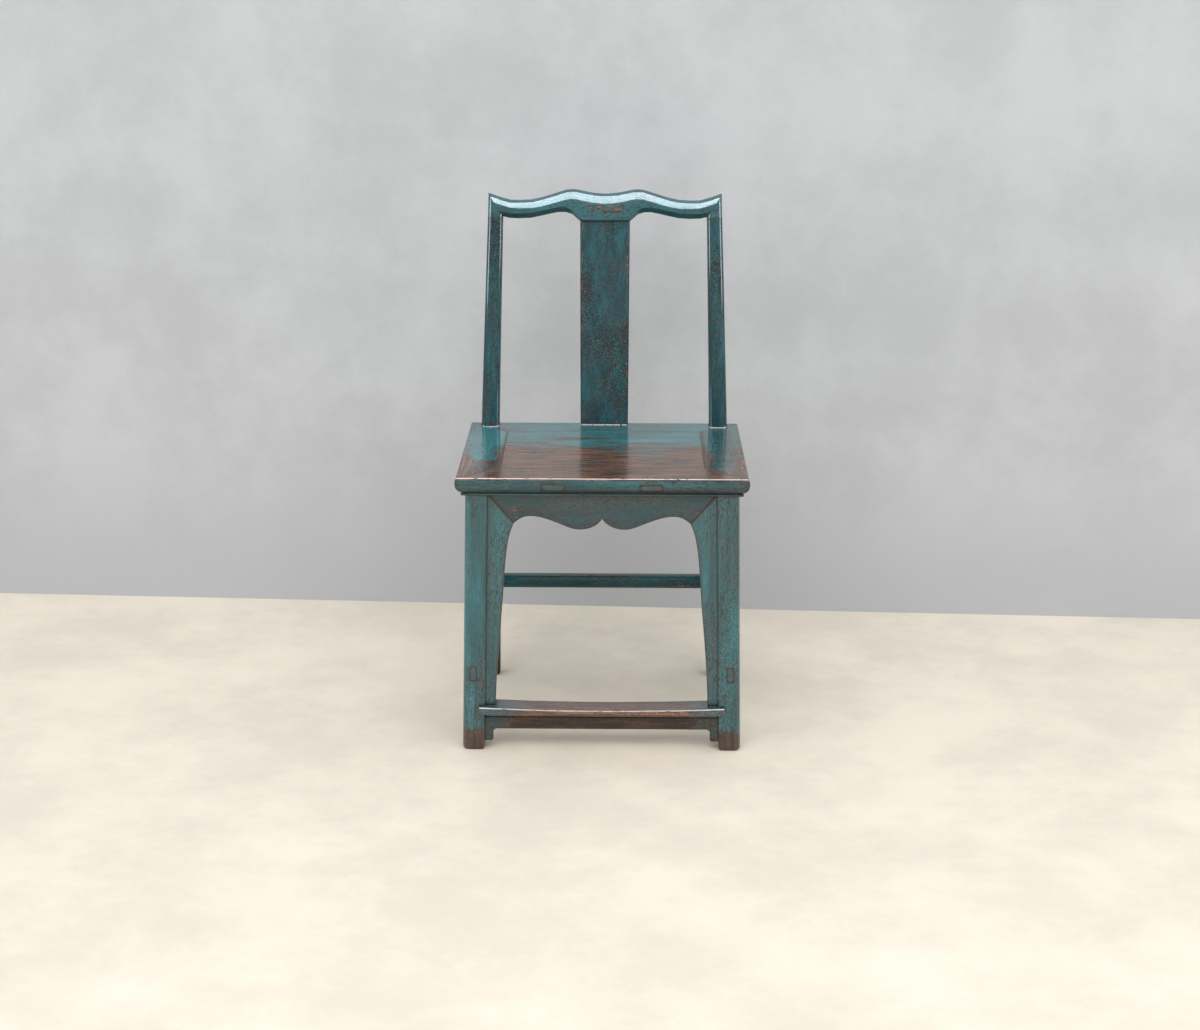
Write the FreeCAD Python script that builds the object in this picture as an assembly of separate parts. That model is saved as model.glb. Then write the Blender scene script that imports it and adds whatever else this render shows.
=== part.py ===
import FreeCAD, Part
import math
import os
from FreeCAD import Vector

# A painted side chair with a shaped crest rail, built in millimetres.
# While it is built, x = 0 is the middle of the chair, y = 0 the front edge of the seat and z = 0
# the floor. +X is the right hand of someone facing the chair and +Y is its back. At the end every
# piece is moved alike, so that the origin lies under the middle of the whole chair.

# Seat frame: four mitred rails with a moulded outer edge
seat_width = 500.0
seat_depth = 420.0
seat_height = 495.0
rail_width = 72.0
rail_thickness = 33.0
edge_round = 1.5
edge_bulge = 2.0
edge_bulge_drop = 9.0
edge_recede = 8.0
edge_groove_height = 1.5
edge_groove_depth = 1.5
edge_bead_height = 4.5
edge_bead_bulge = 1.8
seat_corner_round = 4.0
rail_tenon_thickness = 8.0
rail_tenon_drop = 12.0
rail_tenon_width = 24.0
rail_tenon_margin = 4.0
rail_tenon_cover = 14.0

# Seat panel, floating in a groove of the rails
panel_thickness = 14.0
tongue_length = 7.0
tongue_thickness = 5.0
tongue_drop = 5.0
tongue_play = 1.0

# Battens that run from front to back under the panel
batten_spread = 83.75
batten_width = 38.5
batten_depth = 17.0
batten_tenon_height = 11.5
batten_tenon_drop = 10.5
dovetail_neck = 27.0
dovetail_head = 33.0
dovetail_height = 4.0

# Front legs, splayed outward and forward, outer corners round and inner ones square
front_leg_width = 38.5
front_leg_depth = 38.5
front_leg_side_inset = 14.6
front_leg_inset = 12.0
front_leg_splay = 9.2
front_leg_rake = 10.0
leg_outer_round = 10.0
leg_inner_round = 3.0
foot_round = 6.0
foot_turns = (0, 45, 90)
leg_tenon_size = 20.0
leg_tenon_height = 12.0

# Rear legs, each in one piece with the back post above the seat
rear_leg_width = 39.0
rear_leg_depth = 36.0
rear_leg_side_inset = 18.5
rear_leg_inset = 5.0
rear_leg_splay = 7.0
rear_leg_rake = 12.0
post_side_inset = 1.5
post_base_width = 34.4
post_base_depth = 30.0
post_top_width = 28.5
post_top_depth = 27.0
post_side_flat = 3.0
post_lean = 11.0
post_rake = 38.0
post_curve_share = 0.65
post_steps = 6
post_joint_height = 881.0
post_pin_diameter = 12.0
post_pin_height = 18.0

# Crest rail, with a drop end over each post
crest_rise = 51.0
crest_bow = 13.0
crest_middle_depth = 29.0
# Its section: a flat face, a wide bevel above it, a top that rises to the back, and a bevel below
crest_bevel_middle_height = 14.5
crest_bevel_end_height = 10.0
crest_bevel_slope = 0.85
crest_ridge_rise = 5.0
crest_under_height = 10.0
crest_under_slope = 0.8
crest_ridge_round = 6.0
crest_back_round = 8.0
crest_bevel_round = 7.0
crest_arris_round = 3.0
# From the middle out: place along the half rail, then height above the joint
crest_top_shares = (
    (0.0, 0.812),
    (0.09, 0.842),
    (0.145, 0.872),
    (0.2, 0.928),
    (0.25, 0.964),
    (0.3, 0.978),
    (0.35, 0.933),
    (0.426, 0.835),
    (0.556, 0.68),
    (0.676, 0.60),
    (0.80, 0.61),
    (0.875, 0.685),
    (0.93, 0.77),
    (0.98, 0.84),
    (1.07, 0.98),
)
crest_underside_shares = (
    (0.0, -0.155),
    (0.205, -0.155),
    (0.24, -0.065),
    (0.27, 0.055),
    (0.315, 0.14),
    (0.375, 0.162),
    (0.426, 0.135),
    (0.514, 0.055),
    (0.593, -0.012),
    (0.671, -0.06),
    (0.769, -0.055),
    (0.866, 0.0),
    (0.93, 0.10),
    (1.07, 0.36),
)
# The bevel below dies out over the splat
crest_under_shares = ((0.0, 0.3), (0.19, 0.3), (0.3, 1.0), (1.07, 1.0))
crest_station_shares = (0, 0.1, 0.18, 0.215, 0.245, 0.28, 0.33, 0.39, 0.46, 0.54, 0.63, 0.72, 0.81,
                        0.9, 0.98, 1.07)
crest_tip_share = 0.84

# Splat, the curved back board
splat_top_width = 92.0
splat_base_width = 89.0
splat_thickness = 11.0
splat_base_inset = 12.5
splat_bow = 6.0
splat_top_tenon = 10.0
splat_base_tenon = 15.0
splat_tenon_shoulder = 6.0
splat_edge_bevel = 3.0

# Front arch: a cusped apron between two long spandrels, all set back from the legs' faces
board_thickness = 12.0
board_recess = 8.0
board_tongue = 5.0
arch_corner_width = 44.9
arch_corner_drop = 51.5
arch_cusp_drop = 43.4
# Lower edge of the apron from near its mitre to near the cusp: place out, drop below the seat
apron_edge_shares = (
    (0.96, 0.903),
    (0.905, 0.806),
    (0.776, 0.757),
    (0.605, 0.875),
    (0.434, 1.07),
    (0.316, 1.19),
    (0.22, 1.205),
    (0.11, 1.12),
)
# Inner edge of a spandrel below its mitre: way down to the footrest, then way out
spandrel_foot_inset = 10.9
spandrel_edge_shares = (
    (0.055, 0.20),
    (0.15, 0.38),
    (0.26, 0.49),
    (0.42, 0.60),
    (0.62, 0.77),
    (0.82, 0.92),
    (1.0, 1.0),
)

# Footrest: the worn front stretcher, with a nosing that laps over the legs' faces
footrest_top = 82.5
footrest_thickness = 15.5
footrest_wear = 5.0
footrest_overhang = 11.5
footrest_lap = 11.5
footrest_depth = 48.0
footrest_arris_round = 2.0
footrest_nose_round = 5.0
footrest_end_round = 3.0
footrest_tenon_width = 20.0
footrest_tenon_height = 7.0
footrest_tenon_length = 20.0
cove_height = 8.0

# Low apron under the footrest, with bracket ends
low_apron_bottom = 37.0
low_apron_thickness = 11.0
low_apron_recess = 7.0
low_bracket_bottom = 14.5
low_bracket_width = 14.5
low_bracket_shoulder = 7.0
low_bracket_toe = 4.0

# Side stretchers, higher than the footrest, with a tenon through each front leg
side_stretcher_height = 28.0
side_stretcher_width = 20.0
side_stretcher_place = 140.5
side_stretcher_inset = 17.8
side_tenon_width = 12.2
side_tenon_height = 26.0
side_tenon_end = 18.0

# Rear stretcher, the highest
rear_stretcher_height = 26.0
rear_stretcher_depth = 22.0
rear_stretcher_place = 189.0
rear_tenon_thickness = 9.0
rear_tenon_height = 16.0
rear_tenon_length = 20.0
stretcher_round = 7.0

# Plain aprons under the seat at the sides and the rear, with small bracket ends
plain_apron_height = 32.0
plain_apron_thickness = 11.0
plain_apron_recess = 12.0
plain_bracket_drop = 20.0
plain_bracket_width = 12.0
plain_bracket_shoulder = 14.0
plain_bracket_toe = 3.0

# How far a cutting shape runs past what it cuts
overrun = 20.0

# Sizes that follow from the ones above
half_width = seat_width / 2
seat_underside = seat_height - rail_thickness
panel_half_width = half_width - rail_width
panel_front = rail_width
panel_back = seat_depth - rail_width
panel_underside = seat_height - panel_thickness
front_leg_outer = half_width - front_leg_side_inset
front_leg_inner = front_leg_outer - front_leg_width
front_leg_back = front_leg_inset + front_leg_depth
arch_corner_x = front_leg_inner - arch_corner_width
spandrel_foot_x = front_leg_inner - spandrel_foot_inset
rear_leg_outer = half_width - rear_leg_side_inset
rear_leg_inner = rear_leg_outer - rear_leg_width
rear_leg_back = seat_depth - rear_leg_inset
rear_leg_front = rear_leg_back - rear_leg_depth
rear_leg_middle = (rear_leg_front + rear_leg_back) / 2
post_height = post_joint_height - seat_height
post_base_x = rear_leg_outer - post_side_inset - post_base_width / 2
post_top_x = post_base_x - post_lean
post_top_inner = post_top_x - post_top_width / 2
post_top_outer = post_top_x + post_top_width / 2
post_top_y = rear_leg_middle + post_rake
post_top_slope = post_rake * (1 + post_curve_share) / post_height
splat_base_y = seat_depth - splat_base_inset
crest_underside = post_joint_height + crest_rise * crest_underside_shares[0][1]
footrest_bottom = footrest_top - footrest_thickness
low_apron_top = footrest_bottom - cove_height
arc_middle_share = 1 - math.sqrt(0.5)


def share_down(height):
    """How far down a leg a height is, from 0 under the seat to 1 on the floor."""
    return (seat_underside - height) / seat_underside


def front_leg_face_at(height):
    return front_leg_inset - front_leg_rake * share_down(height)


def front_leg_inner_at(height):
    return front_leg_inner + front_leg_splay * share_down(height)


def rear_leg_inner_at(height):
    return rear_leg_inner + rear_leg_splay * share_down(height)


def rear_leg_middle_at(height):
    return rear_leg_middle + rear_leg_rake * share_down(height)


def line(start, end):
    return Part.LineSegment(start, end).toShape()


def arc(start, middle, end):
    return Part.Arc(start, middle, end).toShape()


def curve(points):
    spline = Part.BSplineCurve()
    spline.interpolate(points)
    return spline.toShape()


def polyline(points):
    return [line(start, end) for start, end in zip(points, points[1:])]


def solid_along(edges, way):
    """The closed outline made of the edges, pushed along a vector."""
    return Part.Face(Part.Wire(edges)).extrude(way)


def polygon_along(points, way):
    return solid_along(polyline(points + points[:1]), way)


def block(x_low, x_high, y_low, y_high, z_low, z_high):
    corner = Vector(x_low, y_low, z_low)
    return Part.makeBox(x_high - x_low, y_high - y_low, z_high - z_low, corner)


def mirrored(shape):
    return shape.mirror(Vector(0, 0, 0), Vector(1, 0, 0))


def rounded_wire(place, corners):
    """Closed outline through corners (u, v, radius) with its corners rounded; place turns (u, v)
    into a point."""
    bends = []
    for index, (u, v, radius) in enumerate(corners):
        before = corners[index - 1]
        after = corners[(index + 1) % len(corners)]
        corner = Vector(u, v, 0)
        back = Vector(before[0] - u, before[1] - v, 0).normalize()
        on = Vector(after[0] - u, after[1] - v, 0).normalize()
        half_angle = back.getAngle(on) / 2
        reach = radius / math.tan(half_angle)
        bulge = (back + on).normalize() * (radius / math.sin(half_angle) - radius)
        bends.append([place(p.x, p.y) for p in (corner + back * reach, corner + bulge, corner + on * reach)])
    edges = []
    for bend, next_bend in zip(bends, bends[1:] + bends[:1]):
        edges.append(arc(*bend))
        edges.append(line(bend[-1], next_bend[0]))
    return Part.Wire(edges)


def even_wire(place, half_u, half_v, radius):
    """Rectangle about place(0, 0), with the same round at every corner."""
    return rounded_wire(place, [(-half_u, -half_v, radius), (half_u, -half_v, radius),
                                (half_u, half_v, radius), (-half_u, half_v, radius)])


def edge_section(place):
    """Outline of a moulded rail. Outwards is measured from the seat's upper arris, and place
    turns (outwards, height) into a point."""
    root = -edge_recede - edge_groove_depth
    bead_top = seat_underside + edge_bead_height
    step_height = bead_top + edge_groove_height
    round_middle = edge_round * arc_middle_share
    return [
        line(place(-rail_width, seat_height), place(-edge_round, seat_height)),
        arc(place(-edge_round, seat_height), place(-round_middle, seat_height - round_middle),
            place(0, seat_height - edge_round)),
        arc(place(0, seat_height - edge_round), place(edge_bulge, seat_height - edge_bulge_drop),
            place(-edge_recede, step_height)),
        line(place(-edge_recede, step_height), place(root, step_height)),
        line(place(root, step_height), place(root, bead_top)),
        arc(place(root, bead_top), place(root + edge_bead_bulge, (bead_top + seat_underside) / 2),
            place(root, seat_underside)),
        line(place(root, seat_underside), place(-rail_width, seat_underside)),
        line(place(-rail_width, seat_underside), place(-rail_width, seat_height)),
    ]


def seat_outline():
    """The seat's plan with its corners eased, as tall as the rails."""
    half_depth = seat_depth / 2
    wire = even_wire(lambda u, v: Vector(u, half_depth + v, seat_underside),
                     half_width + edge_bulge, half_depth + edge_bulge, seat_corner_round)
    return Part.Face(wire).extrude(Vector(0, 0, rail_thickness))


def front_rail():
    """Front rail before it is cut for other pieces: mitred, with a tenon beyond each mitre."""
    reach = half_width + overrun
    section = edge_section(lambda out, z: Vector(-reach, -out, z))
    body = solid_along(section, Vector(2 * reach, 0, 0))
    plan = [
        Vector(-reach, -overrun, 0),
        Vector(reach, -overrun, 0),
        Vector(panel_half_width, panel_front, 0),
        Vector(-panel_half_width, panel_front, 0),
    ]
    mitred = body.common(polygon_along(plan, Vector(0, 0, seat_height + overrun)))
    top = seat_height - rail_tenon_drop
    back = rail_width - rail_tenon_margin
    end = half_width - rail_tenon_cover
    tenon = block(-end, end, back - rail_tenon_width, back, top - rail_tenon_thickness, top)
    return mitred.common(seat_outline()).fuse(tenon)


def right_rail():
    """Right rail before it is cut for other pieces."""
    section = edge_section(lambda out, z: Vector(half_width + out, -overrun, z))
    body = solid_along(section, Vector(0, seat_depth + 2 * overrun, 0))
    plan = [
        Vector(half_width + overrun, -overrun, 0),
        Vector(half_width + overrun, seat_depth + overrun, 0),
        Vector(panel_half_width, panel_back, 0),
        Vector(panel_half_width, panel_front, 0),
    ]
    mitred = body.common(polygon_along(plan, Vector(0, 0, seat_height + overrun)))
    return mitred.common(seat_outline())


def tongue_slab(play):
    """The panel's tongue, or with play added the groove that it sits in."""
    reach = tongue_length + play
    top = seat_height - tongue_drop
    return block(-panel_half_width - reach, panel_half_width + reach,
                 panel_front - reach, panel_back + reach, top - tongue_thickness, top)


def seat_panel():
    """Panel before it is cut for the battens."""
    board = block(-panel_half_width, panel_half_width, panel_front, panel_back,
                  panel_underside, seat_height)
    return board.fuse(tongue_slab(0))


def batten(side):
    """Batten with a dovetail along its top and a tenon through the front and rear rails."""
    x = side * batten_spread
    half = batten_width / 2
    low = panel_underside - batten_depth
    head = panel_underside + dovetail_height
    outline = [
        Vector(x - half, panel_front, low),
        Vector(x + half, panel_front, low),
        Vector(x + half, panel_front, panel_underside),
        Vector(x + dovetail_neck / 2, panel_front, panel_underside),
        Vector(x + dovetail_head / 2, panel_front, head),
        Vector(x - dovetail_head / 2, panel_front, head),
        Vector(x - dovetail_neck / 2, panel_front, panel_underside),
        Vector(x - half, panel_front, panel_underside),
    ]
    body = polygon_along(outline, Vector(0, panel_back - panel_front, 0))
    top = seat_height - batten_tenon_drop
    front_rail_length = edge_section(lambda out, z: Vector(x - half, -out, z))
    through = solid_along(front_rail_length, Vector(batten_width, 0, 0))
    slot = block(x - half, x + half, -overrun, panel_front, top - batten_tenon_height, top)
    front_tenon = through.common(slot)
    rear_tenon = front_tenon.mirror(Vector(0, seat_depth / 2, 0), Vector(0, 1, 0))
    return body.fuse([front_tenon, rear_tenon])


def tapered_leg(outer, front, splay, rake, width, depth):
    """Right leg from the floor to the seat: outer corners round, inner ones nearly square, and
    the foot eased all round."""
    sections = []
    for turn in foot_turns:
        height = foot_round * (1 - math.cos(math.radians(turn)))
        inset = foot_round * (1 - math.sin(math.radians(turn)))
        sections.append((height, inset))
    sections.append((seat_underside, 0))
    wires = []
    for height, inset in sections:
        side = outer + splay * share_down(height) - inset
        inner = side - width + 2 * inset
        face = front + rake * share_down(height) + inset
        back = face + depth - 2 * inset
        corners = [(inner, face, leg_inner_round), (side, face, leg_outer_round),
                   (side, back, leg_outer_round), (inner, back, leg_inner_round)]
        wires.append(rounded_wire(lambda u, v: Vector(u, v, height), corners))
    return Part.makeLoft(wires, True, True)


def front_leg():
    """Right front leg with the tenon on its top, before it is cut for other pieces."""
    body = tapered_leg(front_leg_outer, front_leg_inset, front_leg_splay, -front_leg_rake,
                       front_leg_width, front_leg_depth)
    middle_x = (front_leg_outer + front_leg_inner) / 2
    middle_y = (front_leg_inset + front_leg_back) / 2
    half = leg_tenon_size / 2
    tenon = block(middle_x - half, middle_x + half, middle_y - half, middle_y + half,
                  seat_underside, seat_underside + leg_tenon_height)
    return body.fuse(tenon)


def post_wire(share):
    """Section of the right back post, from share 0 at the seat to 1 at the crest rail."""
    half_across = (post_base_width + (post_top_width - post_base_width) * share) / 2
    half_deep = (post_base_depth + (post_top_depth - post_base_depth) * share) / 2
    bend = (1 - post_curve_share) * share + post_curve_share * share * share
    centre = Vector(post_base_x - post_lean * share, rear_leg_middle + post_rake * bend,
                    seat_height + post_height * share)
    radius = half_deep - post_side_flat / 2
    return even_wire(lambda u, v: centre + Vector(u, v, 0), half_across, half_deep, radius)


def rear_leg():
    """Right rear leg and its post in one length of wood, before it is cut for other pieces."""
    lower = tapered_leg(rear_leg_outer, rear_leg_front, rear_leg_splay, rear_leg_rake,
                        rear_leg_width, rear_leg_depth)
    in_seat = Part.Face(post_wire(0)).extrude(Vector(0, 0, -rail_thickness))
    post = Part.makeLoft([post_wire(step / post_steps) for step in range(post_steps + 1)], True, True)
    pin = Part.makeCylinder(post_pin_diameter / 2, post_pin_height,
                            Vector(post_top_x, post_top_y, post_joint_height))
    return lower.fuse([in_seat, post, pin])


def back_line(height):
    """Depth of the middle of the back at a height near the crest rail, where it leans on."""
    return post_top_y + post_top_slope * (height - post_joint_height)


def smooth_share(shares, place):
    """Value of a smooth curve at a place, through the table's points and never beyond them."""
    slopes = [(after[1] - before[1]) / (after[0] - before[0])
              for before, after in zip(shares, shares[1:])]
    tangents = [0] + [2 * a * b / (a + b) if a * b > 0 else 0
                      for a, b in zip(slopes, slopes[1:])] + slopes[-1:]
    index = max(i for i in range(len(slopes)) if shares[i][0] <= place)
    span = shares[index + 1][0] - shares[index][0]
    t = (place - shares[index][0]) / span
    rise = slopes[index] * span
    start = tangents[index] * span
    end = tangents[index + 1] * span
    return shares[index][1] + start * t + (3 * rise - 2 * start - end) * t ** 2 \
        + (start + end - 2 * rise) * t ** 3


def crest_wire(x_share):
    """Section of the crest rail, leaning back as the posts do."""
    x = post_top_outer * x_share
    top = crest_rise * smooth_share(crest_top_shares, abs(x_share))
    bottom = crest_rise * smooth_share(crest_underside_shares, abs(x_share))
    end_share = min(1, (x / post_top_inner) ** 2)
    deep = crest_middle_depth + (post_top_depth - crest_middle_depth) * end_share
    bevel = crest_bevel_middle_height + (crest_bevel_end_height - crest_bevel_middle_height) * end_share
    under = crest_under_height * smooth_share(crest_under_shares, abs(x_share))
    bow = crest_bow * (1 - end_share)

    def place(u, height):
        z = post_joint_height + height
        return Vector(x, back_line(z) + bow + u, z)

    front = -deep / 2
    corners = [
        (front + under * crest_under_slope, bottom, crest_arris_round),
        (deep / 2, bottom, crest_back_round),
        (deep / 2, top, crest_ridge_round),
        (front + bevel * crest_bevel_slope, top - crest_ridge_rise, crest_bevel_round),
        (front, top - crest_ridge_rise - bevel, crest_bevel_round),
        (front, bottom + under, crest_arris_round),
    ]
    return rounded_wire(place, corners)


def crest_drop_end():
    """Length of round post that turns down from the right end of the rail, up past its mitre."""
    way = Vector(-post_lean / post_height, post_top_slope, 1).normalize()
    back = way.cross(Vector(1, 0, 0)).normalize()
    across = back.cross(way)
    start = Vector(post_top_x, post_top_y, post_joint_height) - way * overrun
    half_deep = post_top_depth / 2 * back.y
    wire = even_wire(lambda u, v: start + across * u + back * v,
                     post_top_width / 2, half_deep, half_deep - post_side_flat / 2)
    bar = Part.Face(wire).extrude(way * (crest_rise + 2 * overrun))
    reach = post_top_y + seat_depth
    return bar.common(block(0, half_width, 0, reach, post_joint_height, reach * 2))


def crest_mitre():
    """Everything beyond the right mitre, which runs from the joint's inner edge to the tip."""
    inner = Vector(post_top_inner, 0, post_joint_height)
    tip_rise = crest_rise * crest_tip_share
    tip = Vector(post_top_outer - post_lean * tip_rise / post_height, 0, post_joint_height + tip_rise)
    along = tip - inner
    reach = Vector(half_width, 0, 0)
    points = [inner - along, tip + along, tip + along + reach, inner - along + reach]
    return polygon_along(points, Vector(0, seat_depth + post_rake + overrun, 0))


def crest_rail():
    """Crest rail with its drop ends, all one piece of wood, before it is cut for other pieces."""
    stations = [-share for share in crest_station_shares[:0:-1]] + list(crest_station_shares)
    beam = Part.makeLoft([crest_wire(share) for share in stations], True, True)
    mitre = crest_mitre()
    drop_end = crest_drop_end().common(mitre)
    beam = beam.cut([mitre, mirrored(mitre)])
    return beam.fuse([drop_end, mirrored(drop_end)])


def splat():
    """Curved back board, wider at the top, with its top end let into the crest rail."""
    high = crest_underside + splat_top_tenon
    top_y = back_line(high) + crest_bow
    middle_y = (splat_base_y + top_y) / 2 - splat_bow
    reach = splat_top_width

    def bent_line(set_back):
        return [
            Vector(-reach, splat_base_y + set_back, seat_height),
            Vector(-reach, middle_y + set_back, (seat_height + high) / 2),
            Vector(-reach, top_y + set_back, high),
        ]

    front = bent_line(-splat_thickness / 2)
    back = bent_line(splat_thickness / 2)
    outline = [
        arc(*front),
        line(front[-1], back[-1]),
        arc(*reversed(back)),
        line(back[0], front[0]),
    ]
    bent = solid_along(outline, Vector(2 * reach, 0, 0))
    face = [
        Vector(-splat_base_width / 2, 0, seat_height),
        Vector(splat_base_width / 2, 0, seat_height),
        Vector(splat_top_width / 2, 0, high),
        Vector(-splat_top_width / 2, 0, high),
    ]
    board = bent.common(polygon_along(face, Vector(0, seat_depth + post_rake + overrun, 0)))
    arrises = [edge for edge in board.Edges if edge.BoundBox.ZLength > post_height / 2]
    return board.makeChamfer(splat_edge_bevel, arrises)


def splat_tenon():
    """Tenon on the foot of the splat, let into the rear rail of the seat."""
    half_wide = splat_base_width / 2 - splat_tenon_shoulder
    half_thick = splat_thickness / 2
    return block(-half_wide, half_wide, splat_base_y - half_thick, splat_base_y + half_thick,
                 seat_height - splat_base_tenon, seat_height)


def leaning_board(edges):
    """Board of the front arch: its outline pushed back, tipped to lean as the front legs do, and
    cut level under the seat."""
    board = solid_along(edges, Vector(0, board_thickness, 0))
    angle = math.degrees(math.atan(front_leg_rake / seat_underside))
    pivot = Vector(0, front_leg_inset + board_recess, seat_underside)
    board.rotate(pivot, Vector(1, 0, 0), -angle)
    return board.common(block(-seat_width, seat_width, -overrun, seat_depth, 0, seat_underside))


def arch_point(x, height):
    return Vector(x, front_leg_inset + board_recess, height)


def on_arch_mitre(above):
    """Point of the right mitre of the arch, at a height above the seat's underside."""
    slope = (front_leg_inner - arch_corner_x) / arch_corner_drop
    return arch_point(front_leg_inner + slope * above, seat_underside + above)


def front_apron():
    """Cusped apron of the front arch, mitred at both ends."""
    corner = on_arch_mitre(-arch_corner_drop)
    right_edge = [corner]
    for x_share, drop_share in apron_edge_shares:
        height = seat_underside - arch_corner_drop * drop_share
        right_edge.append(arch_point(arch_corner_x * x_share, height))
    right_edge.append(arch_point(0, seat_underside - arch_cusp_drop))
    left_edge = [Vector(-p.x, p.y, p.z) for p in reversed(right_edge)]
    top_right = on_arch_mitre(overrun)
    top_left = Vector(-top_right.x, top_right.y, top_right.z)
    outline = [
        line(top_right, corner),
        curve(right_edge),
        curve(left_edge),
        line(left_edge[-1], top_left),
        line(top_left, top_right),
    ]
    return leaning_board(outline)


def front_spandrel():
    """Right spandrel, from its mitre with the apron down to the footrest."""
    corner = on_arch_mitre(-arch_corner_drop)
    down = corner.z - footrest_top
    out = spandrel_foot_x - arch_corner_x
    edge = [corner]
    for down_share, out_share in spandrel_edge_shares:
        edge.append(arch_point(arch_corner_x + out * out_share, corner.z - down * down_share))
    foot = footrest_bottom
    top = on_arch_mitre(overrun)
    outer_top = front_leg_inner + board_tongue
    outer_foot = front_leg_inner_at(foot) + board_tongue
    outline = [curve(edge)] + polyline([
        edge[-1],
        arch_point(spandrel_foot_x, foot),
        arch_point(outer_foot, foot),
        arch_point(outer_top, seat_underside),
        arch_point(top.x, seat_underside + overrun),
        corner,
    ])
    return leaning_board(outline)


def bracket_outline(place, half_span, top, bottom, bracket_bottom, width, shoulder, toe):
    """Outline of a straight apron with a bracket at each end and a tongue beyond it; place turns
    (along, height) into a point."""
    reach = half_span + board_tongue
    inner = half_span - width
    shoulder_middle = shoulder * arc_middle_share
    toe_middle = toe * arc_middle_share
    edges = [line(place(-reach, top), place(reach, top))]
    for side in (1, -1):
        bends = [
            line(place(side * reach, top), place(side * reach, bracket_bottom)),
            line(place(side * reach, bracket_bottom), place(side * (inner + toe), bracket_bottom)),
            arc(place(side * (inner + toe), bracket_bottom),
                place(side * (inner + toe_middle), bracket_bottom + toe_middle),
                place(side * inner, bracket_bottom + toe)),
            line(place(side * inner, bracket_bottom + toe), place(side * inner, bottom - shoulder)),
            arc(place(side * inner, bottom - shoulder),
                place(side * (inner - shoulder_middle), bottom - shoulder_middle),
                place(side * (inner - shoulder), bottom)),
        ]
        edges += bends[::side]
        if side == 1:
            edges.append(line(place(inner - shoulder, bottom), place(shoulder - inner, bottom)))
    return edges


def low_apron_face():
    return front_leg_face_at(low_apron_top) + low_apron_recess


def footrest_apron():
    """Low apron under the footrest, before its ends are let into the legs."""
    face = low_apron_face()
    edges = bracket_outline(lambda u, z: Vector(u, face, z), front_leg_inner_at(low_apron_bottom),
                            low_apron_top, low_apron_bottom, low_bracket_bottom,
                            low_bracket_width, low_bracket_shoulder, low_bracket_toe)
    return solid_along(edges, Vector(0, low_apron_thickness, 0))


def footrest(legs):
    """Footrest board with a nosing, worn hollow on top, a cove under it and a tenon at each end.
    It is scribed round the legs."""
    face = front_leg_face_at(footrest_top)
    front = face - footrest_overhang
    inner = front_leg_inner_at(footrest_top)
    lap = inner + footrest_lap
    outline = [
        arc(Vector(lap, front, footrest_top), Vector(0, front, footrest_top - footrest_wear),
            Vector(-lap, front, footrest_top)),
    ] + polyline([
        Vector(-lap, front, footrest_top),
        Vector(-lap, front, footrest_bottom),
        Vector(lap, front, footrest_bottom),
        Vector(lap, front, footrest_top),
    ])
    board = solid_along(outline, Vector(0, footrest_depth, 0))
    for radius, pick in (
        (footrest_end_round, lambda box: box.XLength + box.YLength < box.ZLength),
        (footrest_arris_round, lambda box: box.ZMax > footrest_top - footrest_arris_round),
        (footrest_nose_round, lambda box: box.ZMax < footrest_bottom + footrest_arris_round),
    ):
        edges = [edge for edge in board.Edges
                 if edge.BoundBox.YMax < face and pick(edge.BoundBox)]
        board = board.makeFillet(radius, edges)
    worn_thickness = footrest_thickness - footrest_wear
    tenon_low = footrest_bottom + (worn_thickness - footrest_tenon_height) / 2
    tenon_front = face + (front_leg_depth - footrest_tenon_width) / 2
    reach = inner + footrest_tenon_length
    tenon = block(-reach, reach, tenon_front, tenon_front + footrest_tenon_width,
                  tenon_low, tenon_low + footrest_tenon_height)
    return board.fuse(footrest_cove()).cut(legs).fuse(tenon)


def footrest_cove():
    """Hollow moulding between the nosing and the low apron."""
    face = low_apron_face()
    back = face + low_apron_thickness
    reach = front_leg_inner_at(low_apron_top) + footrest_lap
    middle = cove_height * (1 - arc_middle_share)
    start = face - cove_height
    edges = [
        arc(Vector(-reach, start, footrest_bottom),
            Vector(-reach, start + middle, low_apron_top + middle),
            Vector(-reach, face, low_apron_top)),
    ] + polyline([
        Vector(-reach, face, low_apron_top),
        Vector(-reach, back, low_apron_top),
        Vector(-reach, back, footrest_bottom),
        Vector(-reach, start, footrest_bottom),
    ])
    cove = solid_along(edges, Vector(2 * reach, 0, 0))
    inner = front_leg_inner_at(low_apron_top)
    return cove.common(block(-inner, inner, start, back, low_apron_top, footrest_bottom))


def side_stretcher(front, rear):
    """Right stretcher, shouldered against both legs, and its two tenons: the front one comes out
    through the face of its leg and the rear one stops inside."""
    height = side_stretcher_place
    down = share_down(height)
    start = Vector(front_leg_outer + front_leg_splay * down - side_stretcher_inset,
                   front_leg_back - front_leg_rake * down, height)
    end = Vector(rear_leg_outer + rear_leg_splay * down - side_stretcher_inset,
                 rear_leg_front + rear_leg_rake * down, height)
    length = (end - start).Length
    way = (end - start).normalize()
    across = Vector(way.y, -way.x, 0)
    up = Vector(0, 0, 1)

    corner = start - way * board_tongue
    wire = even_wire(lambda u, v: corner + across * u + up * v,
                     side_stretcher_width / 2, side_stretcher_height / 2, stretcher_round)
    bar = Part.Face(wire).extrude(way * (length + 2 * board_tongue)).cut([front, rear])
    before = front_leg_depth + overrun
    corner = start - way * before
    half_wide = across * (side_tenon_width / 2)
    half_tall = up * (side_tenon_height / 2)
    outline = [
        corner - half_wide - half_tall,
        corner + half_wide - half_tall,
        corner + half_wide + half_tall,
        corner - half_wide + half_tall,
    ]
    core = polygon_along(outline, way * (before + length + side_tenon_end))
    tenons = [core.common(front), core.common(rear)]
    return bar.fuse(tenons), tenons


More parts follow.
